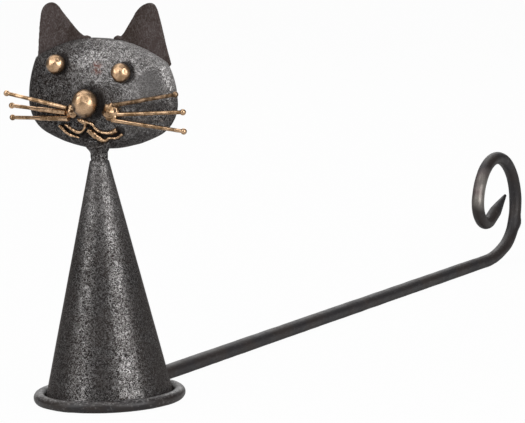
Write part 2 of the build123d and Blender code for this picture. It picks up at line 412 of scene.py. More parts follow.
@cache
def rim_reaches():
    """The outline of the dish as headings from its middle, in order, each with its distance."""
    return sorted((atan2(z, x), hypot(x, z)) for x, z in face_rim())


def dish_depth(share):
    """How far in front of its rim the dish lies, at a share of the way from its middle to its rim."""
    return face_sizes()[-1] * sqrt(1 - share**DISH_FULLNESS)


def dish_front(across, up):
    """The place on the front of the dish at a distance across and above its widest line."""
    *_, line, rim, _ = face_sizes()
    reaches = rim_reaches()
    heading = atan2(up, across)
    after = bisect(reaches, (heading, 0.0)) % len(reaches)
    (start, near_reach), (end, far_reach) = reaches[after - 1], reaches[after]
    part = (heading - start) % tau / ((end - start) % tau)
    reach = near_reach + (far_reach - near_reach) * part
    share = min(hypot(across, up) / reach, 1)
    return Vector((across, rim - dish_depth(share), line + up))


def seat(obj):
    """Flattens what would come out at the back of the face's sheet."""
    line = face_sizes()[3]
    sunk = bpy.context.scene.snuffer_sizes.sheet * SEAT_SHARE
    for vert in obj.data.vertices:
        vert.co.y = min(vert.co.y, dish_front(vert.co.x, vert.co.z - line).y + sunk)


def lip_points(shares):
    """The route of a lip on the front of the dish."""
    half_width, _, drop, *_ = face_sizes()
    return [dish_front(x * half_width, y * drop) for x, y in shares]


# Finishes


def fill(tree, node, inputs):
    """Links or sets the inputs of a shader node."""
    for key, value in inputs.items():
        if isinstance(value, bpy.types.NodeSocket):
            tree.links.new(value, node.inputs[key])
        else:
            node.inputs[key].default_value = value


def add_node(tree, kind, inputs=(), **settings):
    """Adds a shader node, sets it, and fills its inputs."""
    node = tree.nodes.new(f"ShaderNode{kind}")
    for key, value in settings.items():
        setattr(node, key, value)
    fill(tree, node, dict(inputs))
    return node


def noise(tree, place, scale, detail=3.0, rough=0.6, swirl=0.0):
    """A noise value at a scale per metre, swirled into strands if asked."""
    inputs = {"Vector": place, "Scale": scale, "Detail": detail, "Roughness": rough, "Distortion": swirl}
    return add_node(tree, "TexNoise", inputs).outputs["Fac"]


def ramp(tree, value, low, high, to_low=0.0, to_high=1.0):
    """Maps a value from one range to another, softly and clamped."""
    inputs = {"Value": value, "From Min": low, "From Max": high, "To Min": to_low, "To Max": to_high}
    return add_node(tree, "MapRange", inputs, interpolation_type="SMOOTHSTEP").outputs["Result"]


def sums(tree, operation, first, second=0.0):
    """A sum, difference or the like of two values."""
    return add_node(tree, "Math", {0: first, 1: second}, operation=operation).outputs[0]


def times(tree, first, second):
    """The product of two values."""
    return sums(tree, "MULTIPLY", first, second)


def vectors(tree, operation, first, second=(0, 0, 0)):
    """The results of a sum or the like of two vectors."""
    return add_node(tree, "VectorMath", {0: first, 1: second}, operation=operation).outputs


def blend(tree, share, first, second):
    """A mix of two colours."""
    pair = [value if isinstance(value, bpy.types.NodeSocket) else (*value, 1) for value in (first, second)]
    return add_node(tree, "Mix", {0: share, 6: pair[0], 7: pair[1]}, data_type="RGBA").outputs[2]


def carried(tree, name):
    """A value that a piece carries at its vertices."""
    return add_node(tree, "Attribute", attribute_name=name).outputs["Fac"]


def new_group(name, inputs, outputs):
    """An empty shader node group with a place, named numbers and named results."""
    group = bpy.data.node_groups.new(name, "ShaderNodeTree")
    group.interface.new_socket("Place", in_out="INPUT", socket_type="NodeSocketVector")
    for in_out, sockets in (("INPUT", inputs), ("OUTPUT", outputs)):
        for socket in sockets:
            group.interface.new_socket(socket, in_out=in_out, socket_type="NodeSocketFloat")
    return group, group.nodes.new("NodeGroupInput").outputs, group.nodes.new("NodeGroupOutput")


def rubbed_group():
    """Hairs and fine strands where the black is rubbed off, in broad patches."""
    if "rubbed_metal" in bpy.data.node_groups:
        return bpy.data.node_groups["rubbed_metal"]
    tree, given, made = new_group("rubbed_metal", ("Grain", "Cover"), ("Rub", "Patch", "Height"))
    place, grain = given["Place"], given["Grain"]
    patch = ramp(tree, noise(tree, place, PATCH_SCALE, detail=4, rough=0.7, swirl=0.6), 0.34, 0.68)
    hairs = 0.0
    for turn in HAIR_TURNS:
        mapping = {"Vector": place, "Rotation": turn, "Scale": HAIR_STRETCH}
        along = add_node(tree, "Mapping", mapping, vector_type="TEXTURE").outputs[0]
        hairs = sums(tree, "MAXIMUM", hairs, noise(tree, along, grain, rough=0.65, swirl=0.6))
    hairs = times(tree, ramp(tree, hairs, 0.56, 0.70), HAIR_SHARE)
    swirl = noise(tree, place, times(tree, grain, 0.32), detail=2, swirl=1.6)
    strands = ramp(tree, sums(tree, "ABSOLUTE", sums(tree, "SUBTRACT", swirl, 0.5)), 0.0, 0.03, 1.0, 0.0)
    cover = times(tree, ramp(tree, patch, 0.0, 1.0, 0.62, 1.0), given["Cover"])
    rub_and_light = times(tree, sums(tree, "MAXIMUM", hairs, strands), cover)
    waves = times(tree, noise(tree, place, WAVE_SCALE), 1.5)
    height = sums(tree, "ADD", noise(tree, place, grain, rough=0.7), waves)
    fill(tree, made, {"Rub": rub_and_light, "Patch": patch, "Height": height})
    return tree


def aged_group():
    """Slow and fine variation of a smooth dark or bright metal."""
    if "aged_metal" in bpy.data.node_groups:
        return bpy.data.node_groups["aged_metal"]
    tree, given, made = new_group("aged_metal", ("Scale",), ("Tone", "Drift", "Fleck", "Height"))
    place, scale = given["Place"], given["Scale"]
    fine = noise(tree, place, times(tree, scale, 5.0), rough=0.7)
    waves = noise(tree, place, times(tree, scale, 1.6))
    fill(tree, made, {
        "Tone": ramp(tree, noise(tree, place, scale, detail=5, rough=0.65), 0.36, 0.66),
        "Drift": ramp(tree, noise(tree, place, times(tree, scale, 0.45), rough=0.5), 0.42, 0.60),
        "Fleck": ramp(tree, fine, 0.55, 0.72),
        "Height": sums(tree, "ADD", waves, times(tree, fine, 0.4)),
    })
    return tree


def new_finish(name):
    """An empty metal finish: its nodes, its shader and its Object coordinates."""
    finish = bpy.data.materials.new(name)
    finish.use_nodes = True
    tree = finish.node_tree
    return finish, tree, tree.nodes["Principled BSDF"], add_node(tree, "TexCoord").outputs["Object"]


def relief(tree, height, depth):
    """The normals of a small relief."""
    return add_node(tree, "Bump", {"Height": height, "Distance": depth, "Strength": 1.0}).outputs["Normal"]


def near(tree, place, centre, inner, outer, squash=(1, 1, 1)):
    """1 near a place and 0 beyond, for marks that sit at one spot; squash under 1 draws the spot out."""
    offset = vectors(tree, "MULTIPLY", vectors(tree, "SUBTRACT", place, centre)[0], squash)[0]
    return ramp(tree, vectors(tree, "LENGTH", offset)["Value"], inner, outer, 1.0, 0.0)


def spot_near(tree, place, centre, reach):
    """1 at the core of a round spot, fading to 0 at its reach."""
    return near(tree, place, centre, reach * 0.2, reach)


def rubbed_finish(name, ground_colour, grain, cover, rough, rubbed_and_lit=(), shade_and_scorch=(), rust_place=None,
                  sheen_edge=None, stretch=(1, 1, 1), warmth=0.3, veil=0.0, sheen=0.7):
    """Black metal rubbed to grey in hairs and strands, with more rub and a painted sheen at the spots of rub
    and light, less at the spots of painted shade and scorch, and a painted sheen along an edge.
    """
    colours = bpy.context.scene.snuffer_finish
    finish, tree, shader, place = new_finish(name)
    place = vectors(tree, "MULTIPLY", place, stretch)[0]
    inputs = {"Place": place, "Grain": grain, "Cover": cover}
    wear = add_node(tree, "Group", inputs, node_tree=rubbed_group()).outputs
    rub_and_light, matt = sums(tree, "ADD", wear["Rub"], veil), 0.0
    # More or less rub and a painted grey sheen at each spot: painted sheen, and painted shade where the
    # least is under 1
    for spot in rubbed_and_lit:
        inside = spot_near(tree, place, spot.centre, spot.reach)
        rub_and_light = times(tree, rub_and_light, ramp(tree, inside, 0.0, 1.0, spot.least, spot.most))
        rub_and_light = sums(tree, "ADD", rub_and_light, times(tree, inside, spot.haze))
        matt = sums(tree, "ADD", matt, times(tree, inside, spot.matt))
    # Painted shade and scorch: the rub is cut at these spots on the front of the sheet
    if shade_and_scorch:
        front = carried(tree, FRONT)
    for spot in shade_and_scorch:
        inside = near(tree, place, spot.centre, spot.inner, spot.outer, spot.squash)
        rub_and_light = times(tree, rub_and_light, ramp(tree, times(tree, inside, front), 0.0, 1.0, 1.0, spot.left))
    ground = blend(tree, ramp(tree, wear["Patch"], 0.0, 1.0, warmth, 0.0), ground_colour, colours.warm)
    colour = blend(tree, rub_and_light, ground, colours.rubbed_and_lit)
    if rust_place:
        grains = ramp(tree, noise(tree, place, RUST_SCALE), 0.35, 0.6)
        rust = times(tree, near(tree, place, rust_place, RUST_INNER, RUST_OUTER), grains)
        colour = blend(tree, times(tree, rust, RUST_SHARE), colour, colours.rust)
    metal = ramp(tree, rub_and_light, 0.0, sheen, 0.0, METALLIC)
    # A painted sheen along an edge: lighter grey and less metal
    if sheen_edge:
        edge = ramp(tree, rub_and_light, 0.0, 0.8, 0.16, 0.75)
        axes = add_node(tree, "SeparateXYZ", {0: place}).outputs
        for axis, reach in sheen_edge.items():
            edge = times(tree, edge, ramp(tree, axes[axis], *reach))
        colour = blend(tree, edge, colour, colours.rubbed_and_lit)
        metal = times(tree, metal, ramp(tree, edge, 0.0, 0.6, 1.0, 0.4))
    smooth = ramp(tree, rub_and_light, 0.0, 0.6, rough + DULLER, rough)
    fill(tree, shader, {"Base Color": colour, "Metallic": metal,
                        "Roughness": sums(tree, "ADD", smooth, matt),
                        "Specular IOR Level": BLACK_SPECULAR, "Specular Tint": BLACK_TINT,
                        "Normal": relief(tree, wear["Height"], BLACK_RELIEF)})
    return finish


def satin_finish(name, base, tint, scale, fleck_share, rough, worn_height=None, loop_highlight=()):
    """Smooth dark metal with tinted patches, bare flecks on its upper edge where it is worn, and painted
    highlights of bare steel at given spots.
    """
    colours = bpy.context.scene.snuffer_finish
    finish, tree, shader, place = new_finish(name)
    age = add_node(tree, "Group", {"Place": place, "Scale": scale}, node_tree=aged_group()).outputs
    colour = blend(tree, times(tree, age["Tone"], TINT_SHARE), base, tint)
    colour = blend(tree, times(tree, age["Drift"], BLUED_SHARE), colour, colours.blued)
    bare = times(tree, age["Fleck"], fleck_share)
    if worn_height:
        level = add_node(tree, "SeparateXYZ", {0: place}).outputs["Z"]
        flecks = ramp(tree, noise(tree, place, WORN_SCALE, detail=4, rough=0.75), 0.50, 0.62)
        wear_and_highlight = times(tree, ramp(tree, level, *worn_height), flecks)
        bare = sums(tree, "MAXIMUM", bare, times(tree, wear_and_highlight, WORN_SHARE))
    colour = blend(tree, bare, colour, colours.rubbed_and_lit)
    # Painted highlights of bare steel, tinted, at the given spots
    for centre, reach in loop_highlight:
        wear_and_highlight = ramp(tree, age["Tone"], 0.0, 1.0, 0.9, 0.45)
        highlight_mask = times(tree, spot_near(tree, place, centre, reach), wear_and_highlight)
        colour = blend(tree, highlight_mask, colour, blend(tree, age["Drift"], colours.loop_highlight, colours.tarnish))
        bare = sums(tree, "MAXIMUM", bare, highlight_mask)
    fill(tree, shader, {"Base Color": colour, "Metallic": ramp(tree, bare, 0.0, 0.8, 0.0, 0.9),
                        "Roughness": ramp(tree, age["Tone"], 0.0, 1.0, rough, rough + 0.1),
                        "Specular IOR Level": SATIN_SPECULAR,
                        "Normal": relief(tree, age["Height"], SATIN_RELIEF)})
    return finish


def brass_finish(name, scale, patina_share, rough, depth, patina_and_shade_share=0.0):
    """Brass with a brown patina left in patches, and darker where its vertices mark patina and painted
    shade.
    """
    colours = bpy.context.scene.snuffer_finish
    finish, tree, shader, place = new_finish(name)
    age = add_node(tree, "Group", {"Place": place, "Scale": scale}, node_tree=aged_group()).outputs
    colour = blend(tree, times(tree, age["Tone"], patina_share), colours.brass, colours.patina)
    if patina_and_shade_share:
        # Patina and painted shade: darker towards the warm brown where the vertices mark it
        dark = ramp(tree, carried(tree, PATINA_AND_SHADE), 0.10, 0.42, 0.0, patina_and_shade_share)
        colour = blend(tree, dark, colour, colours.warm)
    dull = ramp(tree, age["Tone"], 0.0, 1.0, rough, rough + DULLER)
    dull = sums(tree, "ADD", dull, times(tree, age["Fleck"], 0.08))
    fill(tree, shader, {"Base Color": colour, "Metallic": METALLIC, "Roughness": dull,
                        "Normal": relief(tree, age["Height"], depth)})
    return finish


# Operators


class SNUFFER_OT_bell(bpy.types.Operator):
    """Rolls the bell from sheet and lays the wire ring round its mouth"""

    bl_idname = "snuffer.bell"
    bl_label = "Bell and Rim"

    RINGS = 48
    WORN = (1.3, 1.98)

    def execute(self, context):
        colours = context.scene.snuffer_finish
        _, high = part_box("cone_shell")
        edge = [v.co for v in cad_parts["cone_shell"].data.vertices if v.co.z > high.z - SAME_LEVEL]
        tip = max(hypot(co.x, co.y) for co in edge)
        shares = [ring / self.RINGS for ring in range(self.RINGS + 1)]
        rings = [(high.z * share, high.x + (tip - high.x) * share) for share in shares]
        bell = turn_up("bell", rings, sides=160, filled=False)
        roughen(bell, depth=0.00007, grain=0.012)
        modify(bell, "SOLIDIFY", thickness=context.scene.snuffer_sizes.sheet, offset=-1)
        modify(bell, "BEVEL", width=0.0002, segments=2, limit_method="ANGLE", angle_limit=radians(50))
        rest(bell)
        # More bare flecks and a painted grey sheen towards the bell's top
        lighter_top = RubbedAndLitSpot((0, 0, high.z), reach=high.z / 2, least=1.0, most=1.35, haze=0.06, matt=0.15)
        finish = rubbed_finish("bell_finish", colours.black, grain=2900, cover=0.94, rough=0.31,
                               rubbed_and_lit=[lighter_top], veil=0.018, sheen=0.36)
        hand_over(bell, finish, ["cone_shell"], smooth=40)

        low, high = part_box("rim_ring")
        wire = (high.z - low.z) / 2
        bpy.ops.mesh.primitive_torus_add(major_radius=high.x - wire, minor_radius=wire, major_segments=200,
                                         minor_segments=28, location=(0, 0, wire))
        rim = name_new("rim")
        settle(rim)
        roughen(rim, depth=0.00014, grain=0.005)
        rest(rim)
        wear_and_highlight = [wire * share for share in self.WORN]
        finish = satin_finish("rim_finish", colours.tail, colours.warm, scale=260, fleck_share=0.2,
                              rough=0.38, worn_height=wear_and_highlight)
        hand_over(rim, finish, ["rim_ring"], smooth=40)
        return {"FINISHED"}


class SNUFFER_OT_neck(bpy.types.Operator):
    """Builds the lumpy brazed neck between the bell and the face"""

    bl_idname = "snuffer.neck"
    bl_label = "Neck"

    SWELL = ((-0.5, 0.95), (-0.05, 0.97), (0.1, 1.0), (0.3, 1.0), (0.5, 1.0), (0.65, 1.06), (0.78, 1.18),
             (0.92, 1.36), (1.1, 1.55), (1.3, 1.7), (1.5, 1.8))
    FILLET = 0.0058
    FILLET_SLOPE = 2.6
    FILLET_EDGE = 0.0001
    SHINE_ACROSS, SHINE_UP, SHINE_PROUD, SHINE_REACH = -0.001, 0.0012, 0.6, 0.0026

    def execute(self, context):
        _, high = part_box("neck_stub")
        bell_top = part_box("cone_shell")[1].z
        show = high.z - bell_top
        rings = [(bell_top + share * show, high.x * wide) for share, wide in self.SWELL]
        neck = turn_up("neck", rings, sides=64)
        modify(neck, "SUBSURF", levels=2, render_levels=2)
        chin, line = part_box("face_dome")[0].z, face_sizes()[3]
        for vert in neck.data.vertices:
            if vert.co.z > chin:
                proud = max(self.FILLET - (vert.co.z - chin) * self.FILLET_SLOPE, self.FILLET_EDGE)
                front = dish_front(vert.co.x, vert.co.z - line).y - proud
                vert.co.y = min(max(vert.co.y, front), high.y)
        roughen(neck, depth=0.0004, grain=0.0016)
        # A painted glint on the braze under the chin: more rub and a grey sheen there
        front = dish_front(self.SHINE_ACROSS, chin - line).y - self.FILLET * self.SHINE_PROUD
        shine = RubbedAndLitSpot((self.SHINE_ACROSS, front, chin + self.SHINE_UP), self.SHINE_REACH,
                           least=0.9, most=1.8, haze=0.12)
        finish = rubbed_finish("neck_finish", context.scene.snuffer_finish.black, grain=2200, cover=1.0,
                               rough=0.38, rubbed_and_lit=[shine])
        hand_over(neck, finish, ["neck_stub"])
        return {"FINISHED"}


class SNUFFER_OT_face(bpy.types.Operator):
    """Raises the dish of the face and sinks its mouth"""

    bl_idname = "snuffer.face"
    bl_label = "Face"

    RUST = (0.0018, 0.0088)
    # Across and above the widest line, the reach, and the least, most and sheen haze of each spot of rub and
    # painted light: a painted sheen on the upper right and on the right cheek, and painted shade outside the
    # first spot
    RUBBED_AND_LIT = ((0.010, 0.0105, 0.024, 0.65, 1.42, 0.11), (0.013, -0.007, 0.011, 1.0, 1.5, 0.04),
              (0.0150, 0.0036, 0.0075, 1.0, 2.0, 0.01))
    # Reach of the painted shade and scorch round the brass, of the painted shade in the mouth's recess and
    # of the braze heat and painted shadow on the brow, and the rub left there
    HALO = {"left_eye": 1.5, "right_eye": 1.4, "nose": 1.7}
    HALO_CORE = 0.9
    MOUTH_SHADE = 0.0011
    BROW_HEAT_AND_SHADE = 0.0006
    FADING = 1.7
    LEFT = 0.15
    # Painted shadow of the whiskers on the right cheek, as shares of the half width and the drop
    WHISKER_SHADOW = (0.74, -0.06)
    SHADED = (0.0052, 0.0022)
    # The painted sheen on the brow's edge, as shares of the half width, the depth and the rise
    EDGE_ACROSS, EDGE_FORWARD, EDGE_UP = (-0.2, 0.4), (0.62, 0.1), (0.0, 0.3)

    def execute(self, context):
        sizes = context.scene.snuffer_sizes
        half_width, rise, _, line, rim, depth = face_sizes()
        bpy.ops.mesh.primitive_circle_add(vertices=len(face_rim()), radius=half_width)
        face = name_new("face")
        for vert, (x, z) in zip(face.data.vertices, face_rim()):
            vert.co = (x, rim, line + z)
        edit_all(face)
        size, front = 1, rim
        for share in DISH_RINGS:
            next_front = rim - dish_depth(share)
            extrude((0, next_front - front, 0))
            shrink = share / size
            bpy.ops.transform.resize(value=(shrink, 1, shrink), center_override=(0, next_front, line))
            size, front = share, next_front
        bpy.ops.mesh.edge_face_add()
        bpy.ops.mesh.poke()
        leave_edit()
        outward(face)
        if sum(p.normal.y * p.area for p in face.data.polygons) > 0:
            face.data.flip_normals()
        roughen(face, depth=0.0003, grain=0.007)
        modify(face, "SOLIDIFY", thickness=sizes.sheet, offset=-1)

        points = lip_points(UPPER_LIP + (LOWER_LEFT_LIP + LOWER_RIGHT_LIP)[::-1])
        bpy.ops.mesh.primitive_circle_add(vertices=len(points), radius=half_width, fill_type="NGON")
        mouth = name_new("mouth")
        for vert, point in zip(mouth.data.vertices, points):
            vert.co = point + Vector((0, sizes.mouth, 0))
        edit_all(mouth)
        extrude((0, -2 * depth, 0))
        leave_edit()
        outward(mouth)
        modify(face, "BOOLEAN", object=mouth, operation="DIFFERENCE", solver="EXACT")
        bpy.data.objects.remove(mouth)

        front_edge = sizes.sheet * FRONT_SHARE
        mark(face, FRONT, lambda co: co.y < dish_front(co.x, co.z - line).y + front_edge)
        # Painted sheen along the brow's edge
        brow_sheen = {"X": [half_width * share for share in self.EDGE_ACROSS],
                     "Y": [rim - depth * share for share in self.EDGE_FORWARD],
                     "Z": [line + rise * share for share in self.EDGE_UP]}
        # Painted sheen on the upper right and the right cheek, and painted shade on the rest of the face
        rubbed_and_lit = [RubbedAndLitSpot(dish_front(x, up), *rub_and_light) for x, up, *rub_and_light in self.RUBBED_AND_LIT]
        finish = rubbed_finish("face_finish", context.scene.snuffer_finish.black, grain=2700, cover=1.0,
                               rough=0.32, rubbed_and_lit=rubbed_and_lit, shade_and_scorch=self.shade_and_scorch_spots(),
                               rust_place=dish_front(*self.RUST), sheen_edge=brow_sheen)
        hand_over(face, finish, ["face_dome"], smooth=40)
        return {"FINISHED"}

    def shade_and_scorch_spots(self):
        """The darkened spots: painted shade and scorch round the eyes and the nose, painted shade in the
        mouth, braze heat and painted shadow along the brow, painted shadow on the right cheek between the
        whiskers, and painted shade beside the nose under the right eye.
        """
        half_width, rise, drop, line, *_ = face_sizes()
        spots = []
        # Painted shade and scorch round the brass
        for node, halo in self.HALO.items():
            centre, radius, tall = ball_place(node)
            reach = radius * tall
            spots.append((dish_front(centre.x, centre.z - line), reach * self.HALO_CORE, reach * halo))
        # Painted shade along the mouth's recess
        spots += [(point, self.MOUTH_SHADE, self.MOUTH_SHADE * self.FADING) for point in lip_points(MOUTH_LINE)]
        # Braze heat and painted shadow along the brow's joint to the ears
        brow = [dish_front(x * half_width, y * rise) for x, y in BROW_JOINT]
        spots += [(point, self.BROW_HEAT_AND_SHADE, self.BROW_HEAT_AND_SHADE * self.FADING) for point in brow]
        # The painted shadow between the right whiskers
        whisker_shadow = dish_front(self.WHISKER_SHADOW[0] * half_width, self.WHISKER_SHADOW[1] * drop)
        return [*[ShadeAndScorchSpot(*spot, self.LEFT) for spot in spots],
                ShadeAndScorchSpot(whisker_shadow, inner=0.0004, outer=0.0022, left=0.3, squash=(0.26, 0.26, 1.0)),
                ShadeAndScorchSpot(dish_front(*self.SHADED), inner=0.0008, outer=0.0055, left=0.62)]


class SNUFFER_OT_ears(bpy.types.Operator):
    """Cuts the two ears from sheet and tacks them behind the brow"""

    bl_idname = "snuffer.ears"
    bl_label = "Ears"

    TACK = 0.0009
    TACK_STRETCH = (1.5, 0.7, 0.7)

    def execute(self, context):
        half_width, rise, _, line, *_ = face_sizes()
        finish = rubbed_finish("ear_finish", context.scene.snuffer_finish.ear, grain=2600, cover=0.18,
                               rough=0.5, stretch=(1.0, 1.0, 0.55), warmth=0.6)
        for side_name, side in SIDES.items():
            node = f"{side_name}_ear"
            low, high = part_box(node)
            edge = EAR_EDGES[side_name]
            corners = [*edge, *[(side * x, y) for x, y in EAR_BASE]]
            ear, knots = new_curve(f"{node}_plate", [(x * half_width, y * rise, 0) for x, y in corners])
            ear.data.dimensions, ear.data.fill_mode = "2D", "BOTH"
            ear.data.extrude = (high.y - low.y) / 2
            ear.data.splines[0].use_cyclic_u = True
            for knot in (knots[0], *knots[len(edge) - 1:]):
                knot.handle_left_type = knot.handle_right_type = "VECTOR"
            ear.rotation_euler = (pi / 2, 0, 0)
            ear.location = (0, (low.y + high.y) / 2, line)
            bpy.ops.object.convert(target="MESH")
            settle(ear)
            modify(ear, "WELD", merge_threshold=1e-6)
            modify(ear, "REMESH", mode="VOXEL", voxel_size=0.00018)
            modify(ear, "SMOOTH", factor=0.5, iterations=5)
            roughen(ear, depth=0.00035, grain=0.006)
            hand_over(ear, finish, [node], smooth=40)

            x, y = edge[-1]
            foot = Vector((x * half_width, low.y, line + y * rise))
            tack = ball(f"{node}_tack", foot, self.TACK, self.TACK_STRETCH)
            roughen(tack, depth=0.5, grain=0.8, size=self.TACK)
            hand_over(tack, finish)
        return {"FINISHED"}


class SNUFFER_OT_eyes_nose(bpy.types.Operator):
    """Sets the dented brass balls of the eyes and the nose"""

    bl_idname = "snuffer.eyes_nose"
    bl_label = "Eyes and Nose"

    # Dents of each ball: a heading from its middle, and the depth as a share of its radius
    DENTS = {
        "left_eye": ((-0.5, -0.8, 0.25, 0.07), (0.45, -0.8, -0.3, 0.06), (0.1, -0.9, 0.45, 0.05),
                     (0.6, -0.6, 0.5, 0.06)),
        "right_eye": ((0.03, -0.94, 0.35, 0.05), (0.5, -0.7, -0.5, 0.06), (-0.5, -0.7, -0.5, 0.05),
                      (0.85, -0.5, 0.2, 0.05)),
        "nose": ((-0.62, -0.75, -0.22, 0.16), (0.55, -0.8, 0.5, 0.06), (0.2, -0.9, -0.5, 0.05)),
    }
    DENT_REACH = 0.42
    # The side of each ball that is darker: patina towards its seat, and painted shade on its left and lower
    # edges
    PATINA_AND_SHADE_SIDE = (-0.45, 0.87, -0.20)

    def execute(self, context):
        finish = brass_finish("brass_ball", scale=520, patina_share=0.62, rough=0.25, depth=0.00004,
                              patina_and_shade_share=0.8)
        for node, dents in self.DENTS.items():
            centre, radius, tall = ball_place(node)
            piece = ball(f"{node}_ball", centre, radius, (1, 1, tall))
            for x, y, z, sink in dents:
                heading = Vector((x, y, z)).normalized()
                tug(piece, centre + heading * radius, -heading * sink * radius, radius * self.DENT_REACH)
            roughen(piece, depth=0.06, grain=0.5, size=radius)
            seat(piece)
            # Painted shade and patina: darker towards the seat and the left and lower sides
            mark(piece, PATINA_AND_SHADE, lambda co: 0.5 + 0.5 * (co - centre).normalized().dot(self.PATINA_AND_SHADE_SIDE))
            hand_over(piece, finish, [node])
        return {"FINISHED"}


class SNUFFER_OT_whiskers(bpy.types.Operator):
    """Draws the six whiskers and the blobs of filler that hold them"""

    bl_idname = "snuffer.whiskers"
    bl_label = "Whiskers"

    BLOB_SHARE = {"left": 0.68, "right": 1.0}
    BLOB_SHIFT = {"left": 0.0006, "right": 0.0}
    # Lumps of a blob: a heading from its middle, and the swelling as a share of its radius
    LUMPS = ((0.9, -0.5, 0.5, 0.16), (1, -0.4, -0.1, 0.12), (0.7, -0.5, -0.7, 0.18),
             (-0.5, -0.4, 0.8, 0.16), (-0.95, -0.3, -0.1, 0.2), (-0.4, -0.4, -0.9, 0.14),
             (0.25, -0.4, 0.95, 0.2), (0.1, -1, 0.05, 0.2))
    LUMP_REACH = 0.5
    DULL = "right_whisker_upper"
    ROOT_THICK = {"left_whisker_middle": 0.45, "left_whisker_lower": 0.35}
    USUAL_THICK = 0.1
    ROOT_SINK = {"left": 0.0012, "right": 0.0002}
    # Where along a whisker its thick root ends, and how sharply
    ROOT_END, ROOT_SHARPNESS = 0.55, 30
    STEPS = 36
    KNOB_TURNS = range(140, 0, -14)

    def execute(self, context):
        sizes = context.scene.snuffer_sizes
        wire, bead = sizes.whisker_wire, sizes.whisker_ball
        bright = brass_finish("brass_wire", scale=420, patina_share=1.1, rough=0.17, depth=0.00001)
        dull = brass_finish("brass_dull", scale=900, patina_share=1.8, rough=0.40, depth=0.00002,
                            patina_and_shade_share=0.55)
        for side_name, side in SIDES.items():
            centre, radius, _ = ball_place(f"{side_name}_whisker_boss")
            centre.x += self.BLOB_SHIFT[side_name]
            blob_radius = radius * self.BLOB_SHARE[side_name]
            blob = ball(f"{side_name}_whisker_blob", centre, blob_radius)
            for x, y, z, swell in self.LUMPS:
                heading = Vector((side * x, y, z)).normalized()
                tug(blob, centre + heading * blob_radius, heading * radius * swell, radius * self.LUMP_REACH)
            roughen(blob, depth=0.2, grain=0.5, size=radius)
            seat(blob)
            hand_over(blob, bright, [f"{side_name}_whisker_boss"])
            for row in ("upper", "middle", "lower"):
                node = f"{side_name}_whisker_{row}"
                root, tip = self.wire_ends(node, side, wire, bead)
                length = (tip - root).length
                sink, thick = self.ROOT_SINK[side_name], self.ROOT_THICK.get(node, self.USUAL_THICK)
                rings = []
                for share in [step / self.STEPS for step in range(self.STEPS + 1)]:
                    swell = thick / (1 + exp((share - self.ROOT_END) * self.ROOT_SHARPNESS))
                    rings.append((-sink + share * (length + sink - bead), wire * (1 + swell)))
                for turn in map(radians, self.KNOB_TURNS):
                    rings.append((length + bead * cos(turn), bead * sin(turn)))
                whisker = turn_up(f"{node}_wire", rings, sides=24)
                whisker.rotation_mode = "QUATERNION"
                whisker.rotation_quaternion = (tip - root).to_track_quat("Z", "Y")
                whisker.location = root
                settle(whisker)
                roughen(whisker, depth=0.16, grain=3.0, size=wire)
                seat(whisker)
                mark(whisker, PATINA_AND_SHADE, lambda co: 1.0)
                hand_over(whisker, dull if node == self.DULL else bright, [node])
        return {"FINISHED"}

    def wire_ends(self, node, side, wire, bead):
        """The middle of a whisker's root and of its ball, from its solid."""
        low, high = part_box(node)
        verts = [v.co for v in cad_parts[node].data.vertices]
        end = high.x if side > 0 else low.x
        knob = [(co.y, co.z) for co in verts if abs(co.x - end) < bead]
        tip = Vector((end - side * bead, *[(min(places) + max(places)) / 2 for places in zip(*knob)]))
        furthest = max((co - tip).length for co in verts)
        root_ring = [co for co in verts if (co - tip).length > furthest - wire]
        return sum(root_ring, Vector()) / len(root_ring), tip


class SNUFFER_OT_lips(bpy.types.Operator):
    """Lays the molten beads along the edges of the mouth"""

    bl_idname = "snuffer.lips"
    bl_label = "Lips"

    # The route of each bead, and its thickness at the points of the route
    BEADS = {
        "upper_lip": (UPPER_LIP, (0.7, 1.1, 0.8, 1.0, 0.8, 1.0, 1.7)),
        "lower_left_lip": (LOWER_LEFT_LIP, (0.9, 0.95, 0.5)),
        "lower_right_lip": (LOWER_RIGHT_LIP, (1.5, 2.1, 1.2, 0.8, 0.75, 0.8)),
        "under_nose": (UNDER_NOSE, (0.8, 1.8, 1.6)),
    }
    PROUD = 0.45

    def execute(self, context):
        bead = context.scene.snuffer_sizes.lip_bead
        finish = brass_finish("brass_bead", scale=1100, patina_share=0.85, rough=0.12, depth=0.00001)
        for node, (shares, thickness) in self.BEADS.items():
            points = [point + Vector((0, -bead * self.PROUD, 0)) for point in lip_points(shares)]
            lip, knots = new_curve(f"{node}_bead", points)
            for knot, thick in zip(knots, thickness):
                knot.radius = thick
            lip.data.bevel_depth = bead
            lip.data.bevel_resolution = 5
            lip.data.resolution_u = 24
            lip.data.use_fill_caps = True
            bpy.ops.object.convert(target="MESH")
            settle(lip)
            modify(lip, "REMESH", mode="VOXEL", voxel_size=0.00009)
            roughen(lip, depth=0.8, grain=1.8, size=bead)
            modify(lip, "SMOOTH", factor=0.5, iterations=2)
            seat(lip)
            hand_over(lip, finish, [node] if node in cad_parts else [])
        return {"FINISHED"}


